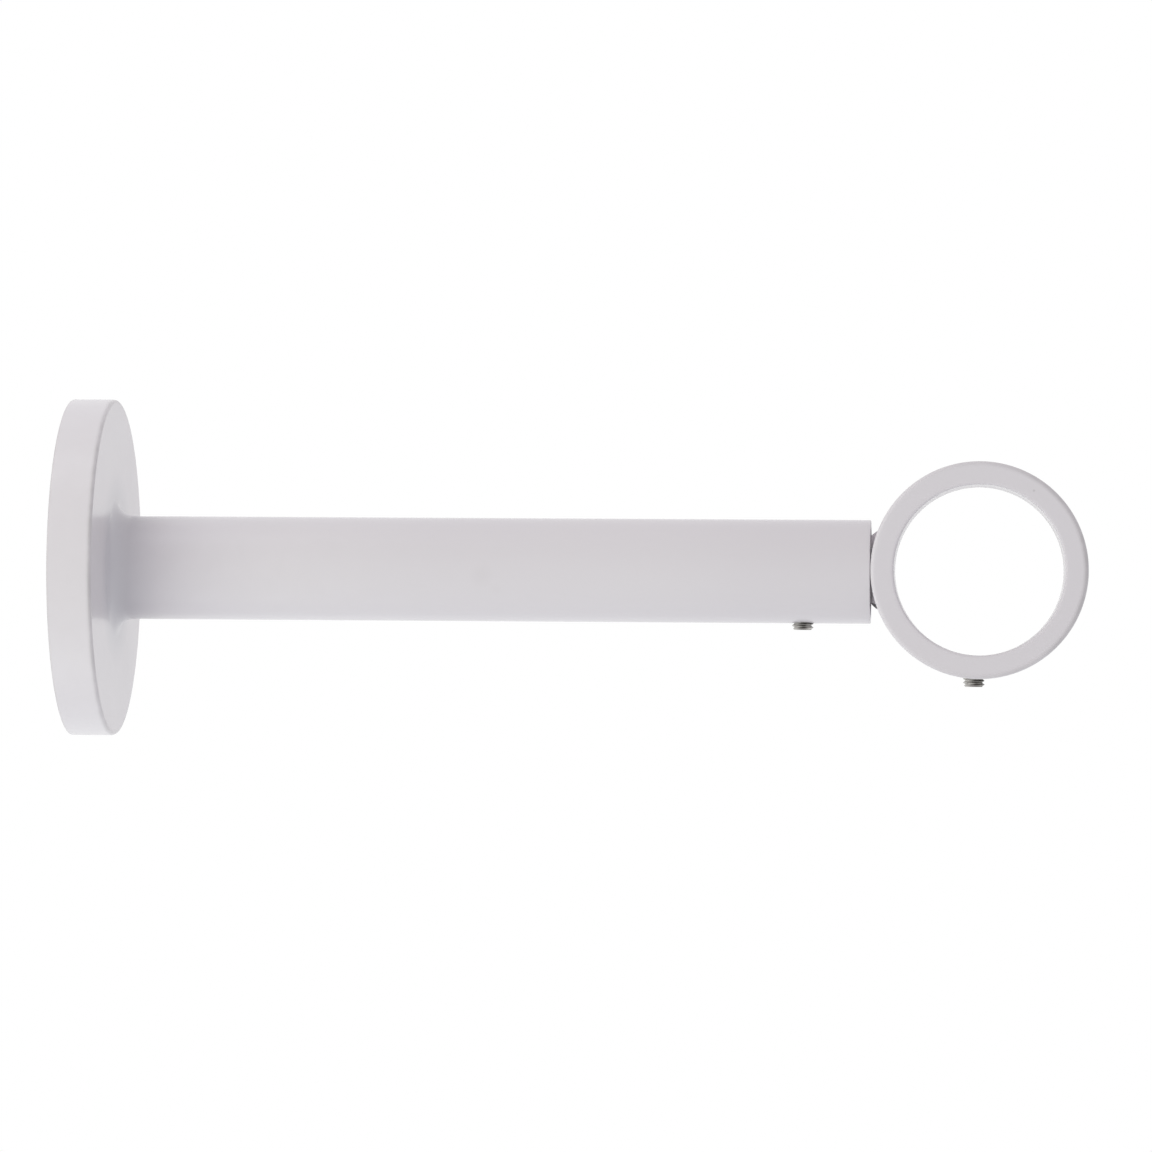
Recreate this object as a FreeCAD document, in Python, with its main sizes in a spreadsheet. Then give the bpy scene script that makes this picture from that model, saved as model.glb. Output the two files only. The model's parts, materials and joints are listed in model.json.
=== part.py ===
"""Curtain pole bracket: wall rose, tubular arm and a closed pole ring on a sliding, turning rod.

Millimetres. The origin lies on the wall, on the arm's axis. +X leaves the wall along the arm,
+Y runs along the pole and +Z is up.
"""
import FreeCAD
import Part
import os
import Sketcher

# Driving dimensions: name, value in millimetres, meaning
SIZES = [
    ("rose_dia", 62.0, "outside diameter of the rose"),
    ("rose_depth", 8.0, "how far the rose stands off the wall"),
    ("rose_wall", 2.0, "thickness of the rose's face and rim"),
    ("rose_edge", 0.4, "bevel round the rose's front edge"),
    ("hub_dia", 22.0, "diameter of the hub that backs the rose against the plate"),
    ("plate_clear", 2.0, "radial clearance between the wall plate and the rose's rim"),
    ("plate_thick", 3.0, "thickness of the wall plate"),
    ("hole_margin", 8.0, "distance from a wall hole's centre to the plate's edge"),
    ("wall_hole", 5.0, "diameter of a wall screw hole"),
    ("wall_sink", 9.0, "diameter of a hole's countersink"),
    ("wall_hole_count", 3.0, "number of wall screw holes"),
    ("stud_dia", 8.0, "diameter of the wall stud"),
    ("stud_reach", 11.0, "how far the stud enters the arm"),
    ("stud_head_dia", 11.0, "diameter of the stud's clinch head"),
    ("stud_head_thick", 1.0, "thickness of the stud's clinch head"),
    ("stud_tip", 0.8, "chamfer at the stud's free end"),
    ("arm_dia", 19.0, "outside diameter of the arm tube"),
    ("arm_wall", 1.2, "wall of the arm tube"),
    ("arm_length", 139.0, "length of the arm tube"),
    ("arm_edge", 0.4, "bevel round the arm's outer end"),
    ("root_fillet", 3.3, "radius of the weld fillet between rose and arm"),
    ("root_toe", 0.15, "thickness of that fillet's toe on the arm"),
    ("plug_length", 14.0, "length of the plug in the arm's wall end"),
    ("plug_edge", 0.6, "chamfer at the hidden ends of plug and bush"),
    ("bush_length", 22.0, "length of the bush in the arm's mouth"),
    ("rod_step", 3.5, "step from the arm's outside down to the sliding rod"),
    ("rod_play", 0.35, "radial play of the rod in its bush"),
    ("rod_length", 82.0, "length of rod inside the arm, pushed right in"),
    ("rod_edge", 0.6, "chamfer at the rod's inner end"),
    ("glide_length", 8.0, "length of the glide ring"),
    ("glide_lip", 2.0, "length of rod beyond the glide ring"),
    ("glide_seat", 1.0, "depth of the glide ring's groove in the rod"),
    ("glide_slit", 1.5, "width of the slit through the glide ring"),
    ("ring_bore", 31.0, "inside diameter of the pole ring"),
    ("ring_wall", 4.25, "wall of the pole ring"),
    ("ring_width", 20.0, "width of the pole ring along the pole"),
    ("ring_edge", 0.4, "bevel round the ring's edges"),
    ("head_gap", 0.25, "gap between the arm's end and the ring"),
    ("weld_start", 0.3, "gap between the arm's end and the weld"),
    ("weld_run", 1.2, "length of the weld's slope along the rod"),
    ("weld_rise", 1.4, "height of the weld above the rod"),
    ("weld_arc", 100.0, "degrees that the weld runs round the rod, above and again below"),
    ("screw_dia", 3.9, "outside diameter of a set screw's thread"),
    ("screw_length", 5.0, "length of a set screw"),
    ("screw_edge", 0.4, "chamfer at both ends of a set screw"),
    ("screw_key", 2.0, "width across flats of a set screw's socket"),
    ("screw_socket", 2.2, "depth of a set screw's socket"),
    ("arm_screw_inset", 12.2, "distance from the arm's end to the arm's set screw"),
    ("pole_screw_shift", 0.9, "offset of the ring's set screw towards the arm"),
    ("pole_screw_out", 1.5, "how far the ring's set screw stands out of the ring"),
    ("thread_gap", 0.05, "radial clearance of a thread in its hole"),
    ("press_gap", 0.02, "radial clearance drawn between pressed pieces"),
    ("touch_gap", 0.02, "clearance drawn between moving pieces that touch"),
    ("glide_gap", 0.05, "clearance of the glide ring in its groove and in the tube"),
    ("stud_hole_gap", 0.3, "radial clearance of the stud in the rose"),
]

# Places and radii worked out from the driving dimensions
PLATE_RADIUS = "(Sizes.rose_dia / 2 - Sizes.rose_wall - Sizes.plate_clear)"
ARM_RADIUS = "(Sizes.arm_dia / 2)"
ARM_INSIDE = "(Sizes.arm_dia / 2 - Sizes.arm_wall)"
ARM_END = "(Sizes.rose_depth + Sizes.arm_length)"
PLUG_RADIUS = f"({ARM_INSIDE} - Sizes.press_gap)"
ROD_RADIUS = "(Sizes.arm_dia / 2 - Sizes.rod_step)"
SOCKET_RADIUS = f"({ROD_RADIUS} + Sizes.rod_play)"
STUD_HOLE = "(Sizes.stud_dia / 2 + Sizes.thread_gap)"
SCREW_HOLE = "(Sizes.screw_dia / 2 + Sizes.thread_gap)"
ARM_SCREW_X = f"({ARM_END} - Sizes.arm_screw_inset)"
RING_BORE = "(Sizes.ring_bore / 2)"
RING_RADIUS = "(Sizes.ring_bore / 2 + Sizes.ring_wall)"
RING_X = f"({ARM_END} + Sizes.head_gap + {RING_RADIUS})"
# The set screw pushes the rod up against the top of its bush
HEAD_LIFT = "(Sizes.rod_play - Sizes.touch_gap)"
ARM_SCREW_Z = f"({HEAD_LIFT} - {ROD_RADIUS} - Sizes.touch_gap - Sizes.screw_length)"
POLE_SCREW_Z = (
    f"({HEAD_LIFT} - sqrt({RING_RADIUS} ^ 2 - Sizes.pole_screw_shift ^ 2) - Sizes.pole_screw_out)"
)
# Along the rod, measured from the ring's centre
ROD_END = f"(-{RING_RADIUS} - Sizes.head_gap - Sizes.rod_length)"
GROOVE_START = f"({ROD_END} + Sizes.glide_lip)"
GROOVE_END = f"({GROOVE_START} + Sizes.glide_length + 2 * Sizes.glide_gap)"
GROOVE_RADIUS = f"({ROD_RADIUS} - Sizes.glide_seat)"
WELD_START = f"(-{RING_RADIUS} - Sizes.head_gap + Sizes.weld_start)"
WELD_RADIUS = f"({ROD_RADIUS} + Sizes.weld_rise)"
WELD_END = f"({WELD_START} + Sizes.weld_run)"
WELD_ROOT = f"({ROD_RADIUS} - Sizes.weld_rise)"
ROOT_X = f"(-{RING_RADIUS} + Sizes.ring_wall / 2)"

doc = FreeCAD.newDocument("CurtainPoleBracket")
sheet = doc.addObject("Spreadsheet::Sheet", "Sizes")
for row, (alias, size, meaning) in enumerate(SIZES, start=1):
    sheet.set(f"A{row}", meaning)
    sheet.set(f"B{row}", str(size))
    sheet.setAlias(f"B{row}", alias)
doc.recompute()


def value(expression):
    """The number that an expression of sheet sizes gives now."""
    return float(sheet.evalExpression(expression))


def new_body(label, x="0", z="0"):
    """An empty body at a place on the row's XZ plane."""
    body = doc.addObject("PartDesign::Body", label)
    body.Label = label
    body.setExpression("Placement.Base.x", x)
    body.setExpression("Placement.Base.z", z)
    return body


def origin_plane(body, role):
    """One of the body's own origin planes."""
    return next(item for item in body.Origin.OriginFeatures if item.Role == role)


def new_sketch(body, name, role, offset="0"):
    """A sketch on one of the body's origin planes, moved off it along its normal."""
    sketch = body.newObject("Sketcher::SketchObject", name)
    sketch.AttachmentSupport = [(origin_plane(body, role), "")]
    sketch.MapMode = "FlatFace"
    sketch.setExpression("AttachmentOffset.Base.z", offset)
    return sketch


def place_point(sketch, geometry, point, axis_kind, coordinate):
    """Ties one coordinate of a sketch point to an expression."""
    index = sketch.addConstraint(
        Sketcher.Constraint(axis_kind, -1, 1, geometry, point, value(coordinate))
    )
    sketch.setExpression(f"Constraints[{index}]", coordinate)


def add_outline(sketch, corners):
    """A closed polygon through corners given as pairs of expressions."""
    places = [FreeCAD.Vector(value(x), value(y), 0) for x, y in corners]
    first = sketch.GeometryCount
    count = len(corners)
    for i in range(count):
        sketch.addGeometry(Part.LineSegment(places[i], places[(i + 1) % count]), False)
    for i in range(count):
        after = first + (i + 1) % count
        sketch.addConstraint(Sketcher.Constraint("Coincident", first + i, 2, after, 1))
    for i, (x, y) in enumerate(corners):
        place_point(sketch, first + i, 1, "DistanceX", x)
        place_point(sketch, first + i, 1, "DistanceY", y)


def add_circle(sketch, radius, x="0", y="0"):
    """A circle whose radius and centre are expressions."""
    centre = FreeCAD.Vector(value(x), value(y), 0)
    circle = Part.Circle(centre, FreeCAD.Vector(0, 0, 1), value(radius))
    geometry = sketch.addGeometry(circle, False)
    index = sketch.addConstraint(Sketcher.Constraint("Radius", geometry, value(radius)))
    sketch.setExpression(f"Constraints[{index}]", radius)
    place_point(sketch, geometry, 3, "DistanceX", x)
    place_point(sketch, geometry, 3, "DistanceY", y)


def turn(body, name, corners, axis="H_Axis"):
    """A solid turned from its half section."""
    sketch = new_sketch(body, f"{name}_section", "XZ_Plane")
    add_outline(sketch, corners)
    feature = body.newObject("PartDesign::Revolution", name)
    feature.Profile = sketch
    feature.ReferenceAxis = (sketch, [axis])
    feature.Angle = 360
    return feature


def pocket(body, sketch, name, reversed_way=False, both_ways=False, depth=None):
    """Cuts a sketch out of the body and checks that something went."""
    doc.recompute()
    before = body.Shape.Volume
    feature = body.newObject("PartDesign::Pocket", name)
    feature.Profile = sketch
    feature.Reversed = reversed_way
    feature.Midplane = both_ways
    if depth is None:
        feature.Type = "ThroughAll"
    else:
        feature.setExpression("Length", depth)
    doc.recompute()
    if body.Shape.Volume > before - 1e-3:
        raise RuntimeError(f"{name} cuts nothing")
    return feature


def edge_feature(body, kind, name, wanted):
    """A chamfer or fillet on the edges of the body's last feature that pass a test."""
    doc.recompute()
    last = body.Tip
    edges = [f"Edge{i}" for i, edge in enumerate(last.Shape.Edges, start=1) if wanted(edge)]
    if not edges:
        raise RuntimeError(f"{name} finds no edge")
    feature = body.newObject(f"PartDesign::{kind}", name)
    feature.Base = (last, edges)
    return feature


def bevel(body, name, size, wanted):
    """Chamfers the edges of the body's last feature that pass a test."""
    edge_feature(body, "Chamfer", name, wanted).setExpression("Size", size)


def fillet(body, name, radius, wanted):
    """Rounds the edges of the body's last feature that pass a test."""
    edge_feature(body, "Fillet", name, wanted).setExpression("Radius", radius)


def is_circle(edge, radius, along, at):
    """Whether an edge is an arc of this radius whose centre lies at a place on an axis."""
    if not isinstance(edge.Curve, Part.Circle):
        return False
    centre = getattr(edge.Curve.Center, along)
    return abs(edge.Curve.Radius - radius) < 1e-4 and abs(centre - at) < 1e-4


# Wall plate: a disc with a seat for the stud's head and countersunk screw holes
plate = new_body("wall_plate")
turn(plate, "plate_disc", [
    ("Sizes.stud_head_thick", STUD_HOLE),
    ("Sizes.plate_thick", STUD_HOLE),
    ("Sizes.plate_thick", PLATE_RADIUS),
    ("0", PLATE_RADIUS),
    ("0", "Sizes.stud_head_dia / 2 + Sizes.press_gap"),
    ("Sizes.stud_head_thick", "Sizes.stud_head_dia / 2 + Sizes.press_gap"),
])
hole_centre = new_sketch(plate, "wall_hole_centre", "YZ_Plane", "Sizes.plate_thick")
add_circle(hole_centre, "Sizes.wall_hole / 2", "0", f"{PLATE_RADIUS} - Sizes.hole_margin")
doc.recompute()
wall_hole = plate.newObject("PartDesign::Hole", "wall_hole")
wall_hole.Profile = hole_centre
doc.recompute()
wall_hole.DepthType = "ThroughAll"
wall_hole.setExpression("Diameter", "Sizes.wall_hole")
wall_hole.HoleCutType = "Countersink"
wall_hole.HoleCutCustomValues = True
wall_hole.setExpression("HoleCutDiameter", "Sizes.wall_sink")
wall_hole.HoleCutCountersinkAngle = 90
hole_pattern = plate.newObject("PartDesign::PolarPattern", "wall_holes")
hole_pattern.Originals = [wall_hole]
hole_pattern.Axis = (hole_centre, ["N_Axis"])
hole_pattern.Angle = 360
hole_pattern.setExpression("Occurrences", "Sizes.wall_hole_count")
plate.Tip = hole_pattern

# Wall stud: clinch head flush in the plate's back, threaded shank into the arm
stud = new_body("wall_stud")
turn(stud, "stud_shank", [
    ("0", "0"),
    ("0", "Sizes.stud_head_dia / 2"),
    ("Sizes.stud_head_thick", "Sizes.stud_head_dia / 2"),
    ("Sizes.stud_head_thick", "Sizes.stud_dia / 2"),
    ("Sizes.rose_depth + Sizes.stud_reach - Sizes.stud_tip", "Sizes.stud_dia / 2"),
    ("Sizes.rose_depth + Sizes.stud_reach", "Sizes.stud_dia / 2 - Sizes.stud_tip"),
    ("Sizes.rose_depth + Sizes.stud_reach", "0"),
])

# Rose: a cup whose rim meets the wall and whose hub bears on the wall plate, welded to the arm
# that stands on it by a fillet all round
rose = new_body("rose")
ROSE_FLOOR = "(Sizes.rose_depth - Sizes.rose_wall)"
ROSE_RIM_INSIDE = "(Sizes.rose_dia / 2 - Sizes.rose_wall)"
ROSE_HOLE = "(Sizes.stud_dia / 2 + Sizes.stud_hole_gap)"
ROOT_END = "(Sizes.rose_depth + Sizes.root_fillet + Sizes.root_toe)"
ROOT_RADIUS = f"({ARM_RADIUS} + Sizes.root_toe)"
turn(rose, "rose_cup", [
    ("0", "Sizes.rose_dia / 2"),
    ("Sizes.rose_depth", "Sizes.rose_dia / 2"),
    ("Sizes.rose_depth", ROOT_RADIUS),
    (ROOT_END, ROOT_RADIUS),
    (ROOT_END, f"{ARM_RADIUS} + Sizes.press_gap"),
    ("Sizes.rose_depth", f"{ARM_RADIUS} + Sizes.press_gap"),
    ("Sizes.rose_depth", ROSE_HOLE),
    ("Sizes.plate_thick", ROSE_HOLE),
    ("Sizes.plate_thick", "Sizes.hub_dia / 2"),
    (ROSE_FLOOR, "Sizes.hub_dia / 2"),
    (ROSE_FLOOR, ROSE_RIM_INSIDE),
    ("0", ROSE_RIM_INSIDE),
])
bevel(rose, "rose_front_bevel", "Sizes.rose_edge",
      lambda edge: is_circle(edge, value("Sizes.rose_dia / 2"), "x", value("Sizes.rose_depth")))
fillet(rose, "rose_root_fillet", "Sizes.root_fillet",
       lambda edge: is_circle(edge, value(ROOT_RADIUS), "x", value("Sizes.rose_depth")))

# Arm tube: plain tube with a hole for the set screw under its outer end
arm = new_body("arm_tube", x="Sizes.rose_depth")
arm_section = new_sketch(arm, "arm_section", "YZ_Plane")
add_circle(arm_section, ARM_RADIUS)
add_circle(arm_section, ARM_INSIDE)
arm_pad = arm.newObject("PartDesign::Pad", "arm_length")
arm_pad.Profile = arm_section
arm_pad.setExpression("Length", "Sizes.arm_length")
bevel(arm, "arm_end_bevel", "Sizes.arm_edge",
      lambda edge: is_circle(edge, value(ARM_RADIUS), "x", value("Sizes.arm_length")))
arm_screw_hole = new_sketch(arm, "arm_screw_hole_circle", "XY_Plane")
add_circle(arm_screw_hole, SCREW_HOLE, x="Sizes.arm_length - Sizes.arm_screw_inset")
pocket(arm, arm_screw_hole, "arm_screw_hole")

# Base plug: pressed into the arm's wall end, threaded for the stud
plug = new_body("arm_base_plug", x="Sizes.rose_depth")
turn(plug, "plug_section_turned", [
    ("0", STUD_HOLE),
    ("0", PLUG_RADIUS),
    ("Sizes.plug_length - Sizes.plug_edge", PLUG_RADIUS),
    ("Sizes.plug_length", f"{PLUG_RADIUS} - Sizes.plug_edge"),
    ("Sizes.plug_length", STUD_HOLE),
])

# Socket bush: pressed into the arm's mouth, bored for the rod and tapped for the set screw
bush = new_body("socket_bush", x=ARM_END)
turn(bush, "bush_sleeve", [
    ("-Sizes.bush_length", SOCKET_RADIUS),
    ("-Sizes.bush_length", f"{PLUG_RADIUS} - Sizes.plug_edge"),
    ("-Sizes.bush_length + Sizes.plug_edge", PLUG_RADIUS),
    ("0", PLUG_RADIUS),
    ("0", SOCKET_RADIUS),
])
bush_screw_hole = new_sketch(bush, "bush_screw_hole_circle", "XY_Plane")
add_circle(bush_screw_hole, SCREW_HOLE, x="-Sizes.arm_screw_inset")
pocket(bush, bush_screw_hole, "bush_screw_hole")

# Ring head: the pole ring and the rod that is welded to it
head = new_body("ring_head", x=RING_X, z=HEAD_LIFT)
ring_circle = new_sketch(head, "ring_circle", "XZ_Plane")
add_circle(ring_circle, RING_RADIUS)
ring_pad = head.newObject("PartDesign::Pad", "ring_width")
ring_pad.Profile = ring_circle
ring_pad.Midplane = True
ring_pad.setExpression("Length", "Sizes.ring_width")
bevel(head, "ring_outer_bevel", "Sizes.ring_edge",
      lambda edge: isinstance(edge.Curve, Part.Circle))
turn(head, "rod", [
    (ROD_END, "0"),
    (ROD_END, f"{ROD_RADIUS} - Sizes.rod_edge"),
    (f"{ROD_END} + Sizes.rod_edge", ROD_RADIUS),
    (GROOVE_START, ROD_RADIUS),
    (GROOVE_START, GROOVE_RADIUS),
    (GROOVE_END, GROOVE_RADIUS),
    (GROOVE_END, ROD_RADIUS),
    (ROOT_X, ROD_RADIUS),
    (ROOT_X, "0"),
])
weld = turn(head, "weld", [
    (WELD_START, WELD_ROOT),
    (WELD_START, ROD_RADIUS),
    (WELD_END, WELD_RADIUS),
    (ROOT_X, WELD_RADIUS),
    (ROOT_X, WELD_ROOT),
])
weld.Midplane = True
weld.setExpression("Angle", "Sizes.weld_arc")
weld_pair = head.newObject("PartDesign::Mirrored", "weld_above_and_below")
weld_pair.Originals = [weld]
weld_pair.MirrorPlane = (origin_plane(head, "XY_Plane"), [""])
head.Tip = weld_pair
bore_circle = new_sketch(head, "bore_circle", "XZ_Plane")
add_circle(bore_circle, RING_BORE)
pocket(head, bore_circle, "pole_bore", both_ways=True, depth="2 * Sizes.ring_width")
bevel(head, "ring_inner_bevel", "Sizes.ring_edge",
      lambda edge: isinstance(edge.Curve, Part.Circle)
      and abs(edge.Curve.Radius - value(RING_BORE)) < 1e-4)
pole_screw_hole = new_sketch(head, "pole_screw_hole_circle", "XY_Plane")
add_circle(pole_screw_hole, SCREW_HOLE, x="-Sizes.pole_screw_shift")
pocket(head, pole_screw_hole, "pole_screw_hole")

# Rod glide: a split ring snapped into the rod's groove, sliding in the tube
glide = new_body("rod_glide", x=f"{RING_X} + {GROOVE_START} + Sizes.glide_gap", z=HEAD_LIFT)
GLIDE_INSIDE = f"({GROOVE_RADIUS} + Sizes.glide_gap)"
GLIDE_RADIUS = f"({ARM_INSIDE} - {HEAD_LIFT} - Sizes.glide_gap)"
turn(glide, "glide_ring", [
    ("0", GLIDE_INSIDE),
    ("0", GLIDE_RADIUS),
    ("Sizes.glide_length", GLIDE_RADIUS),
    ("Sizes.glide_length", GLIDE_INSIDE),
])
slit = new_sketch(glide, "glide_slit_outline", "XY_Plane")
add_outline(slit, [
    ("-Sizes.glide_lip", "-Sizes.glide_slit / 2"),
    ("Sizes.glide_length + Sizes.glide_lip", "-Sizes.glide_slit / 2"),
    ("Sizes.glide_length + Sizes.glide_lip", "Sizes.glide_slit / 2"),
    ("-Sizes.glide_lip", "Sizes.glide_slit / 2"),
])
pocket(glide, slit, "glide_slit")


def set_screw(label, x, z):
    """A set screw standing on its socket end: chamfered cylinder with a hexagon socket."""
    body = new_body(label, x=x, z=z)
    radius = "(Sizes.screw_dia / 2)"
    turn(body, f"{label}_shank", [
        ("0", "0"),
        (f"{radius} - Sizes.screw_edge", "0"),
        (radius, "Sizes.screw_edge"),
        (radius, "Sizes.screw_length - Sizes.screw_edge"),
        (f"{radius} - Sizes.screw_edge", "Sizes.screw_length"),
        ("0", "Sizes.screw_length"),
    ], axis="V_Axis")
    socket = new_sketch(body, f"{label}_socket_outline", "XY_Plane")
    corner = "(Sizes.screw_key / sqrt(3))"
    add_outline(socket, [
        (f"{corner} * cos({angle} deg)", f"{corner} * sin({angle} deg)")
        for angle in range(0, 360, 60)
    ])
    pocket(body, socket, f"{label}_socket", reversed_way=True, depth="Sizes.screw_socket")
    return body


arm_screw = set_screw("arm_set_screw", ARM_SCREW_X, ARM_SCREW_Z)
pole_screw = set_screw("pole_set_screw", f"{RING_X} - Sizes.pole_screw_shift", POLE_SCREW_Z)

doc.recompute()
pieces = [plate, stud, rose, arm, plug, bush, head, glide, arm_screw, pole_screw]
for item in doc.Objects:
    if "Invalid" in item.State or "Error" in item.State:
        raise RuntimeError(f"{item.Label} failed: {item.State}")
for piece in pieces:
    if piece.Shape.isNull() or not piece.Shape.isValid():
        raise RuntimeError(f"{piece.Label} has no valid shape")

os.makedirs("parts", exist_ok=True)
for piece in pieces:
    piece.Shape.exportStep(f"parts/{piece.Label}.step")
    box = piece.Shape.BoundBox
    print(f"{piece.Label}: {piece.Shape.Volume:.1f} mm3, {len(piece.Shape.Solids)} solid, "
          f"X {box.XMin:.2f}..{box.XMax:.2f}, Y {box.YMin:.2f}..{box.YMax:.2f}, "
          f"Z {box.ZMin:.2f}..{box.ZMax:.2f}")
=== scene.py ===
"""Curtain pole bracket: rose, arm, pole ring, weld, set screws and wall fixings, finished and lit.

Metres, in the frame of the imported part: the wall plane is X = 0 and the arm's axis is the X axis.
"""
import json
import math

import bmesh
import bpy
from bpy.props import FloatProperty, FloatVectorProperty, IntProperty, PointerProperty
from mathutils import Matrix, Vector


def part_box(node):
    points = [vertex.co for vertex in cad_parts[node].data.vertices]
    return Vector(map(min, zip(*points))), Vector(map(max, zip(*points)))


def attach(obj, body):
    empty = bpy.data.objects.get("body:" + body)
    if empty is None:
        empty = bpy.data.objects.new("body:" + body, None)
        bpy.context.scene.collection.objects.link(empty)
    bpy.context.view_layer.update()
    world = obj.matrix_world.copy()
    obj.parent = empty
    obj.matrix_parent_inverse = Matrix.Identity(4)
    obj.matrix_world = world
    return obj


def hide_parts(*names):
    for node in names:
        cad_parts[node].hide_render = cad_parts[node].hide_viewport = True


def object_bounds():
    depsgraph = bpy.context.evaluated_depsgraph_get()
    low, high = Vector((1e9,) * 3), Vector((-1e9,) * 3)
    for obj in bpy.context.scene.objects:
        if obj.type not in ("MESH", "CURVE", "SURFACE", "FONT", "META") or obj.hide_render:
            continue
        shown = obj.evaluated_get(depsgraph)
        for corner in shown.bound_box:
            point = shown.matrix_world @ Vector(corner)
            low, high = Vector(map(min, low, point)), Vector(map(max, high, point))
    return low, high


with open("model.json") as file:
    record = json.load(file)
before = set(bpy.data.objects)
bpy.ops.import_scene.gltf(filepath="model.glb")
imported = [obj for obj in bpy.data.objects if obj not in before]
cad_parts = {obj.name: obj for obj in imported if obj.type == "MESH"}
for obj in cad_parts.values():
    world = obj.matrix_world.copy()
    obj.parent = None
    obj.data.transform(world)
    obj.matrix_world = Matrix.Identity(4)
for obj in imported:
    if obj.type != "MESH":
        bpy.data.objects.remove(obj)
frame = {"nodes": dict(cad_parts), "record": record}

bl_info = {
    "name": "Curtain Pole Bracket",
    "version": (1, 0, 0),
    "blender": (4, 5, 0),
    "location": "View3D > Sidebar > Bracket",
    "description": "Builds and finishes a curtain pole bracket with its rose, arm, ring and screws",
    "category": "Add Mesh",
}

CAD_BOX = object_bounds()
MM = 0.001
FULL_TURN = 2 * math.pi

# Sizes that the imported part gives
ROSE_LOW, ROSE_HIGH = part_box("rose")
PLATE_LOW, PLATE_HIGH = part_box("wall_plate")
STUD_LOW, STUD_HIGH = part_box("wall_stud")
ARM_LOW, ARM_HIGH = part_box("arm_tube")
HEAD_LOW, HEAD_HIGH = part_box("ring_head")
GLIDE_LOW, GLIDE_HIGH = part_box("rod_glide")
ARM_SCREW_LOW, ARM_SCREW_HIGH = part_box("arm_set_screw")
POLE_SCREW_LOW, POLE_SCREW_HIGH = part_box("pole_set_screw")
MOUNTS = {mount["name"]: mount for mount in frame["record"]["mounts"]}
RING_BORE = MOUNTS["pole_bore"]["dims"]["r_mm"] * MM
WALL_HOLE = MOUNTS["wall_holes"]["dims"]["hole_r_mm"] * MM
WALL_HOLE_CIRCLE = MOUNTS["wall_holes"]["dims"]["pcd_mm"] * MM / 2
WALL_HOLE_COUNT = MOUNTS["wall_holes"]["dims"]["count"]
RING_RADIUS = (HEAD_HIGH.z - HEAD_LOW.z) / 2
RING_CENTRE = Vector((HEAD_HIGH.x - RING_RADIUS, 0.0, (HEAD_HIGH.z + HEAD_LOW.z) / 2))
SCREW_RADIUS = (ARM_SCREW_HIGH.x - ARM_SCREW_LOW.x) / 2
HEAD_LIFT = RING_CENTRE.z
ROSE_FACE = ARM_LOW.x
ROSE_RADIUS = ROSE_HIGH.z
ARM_RADIUS = ARM_HIGH.z


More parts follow.
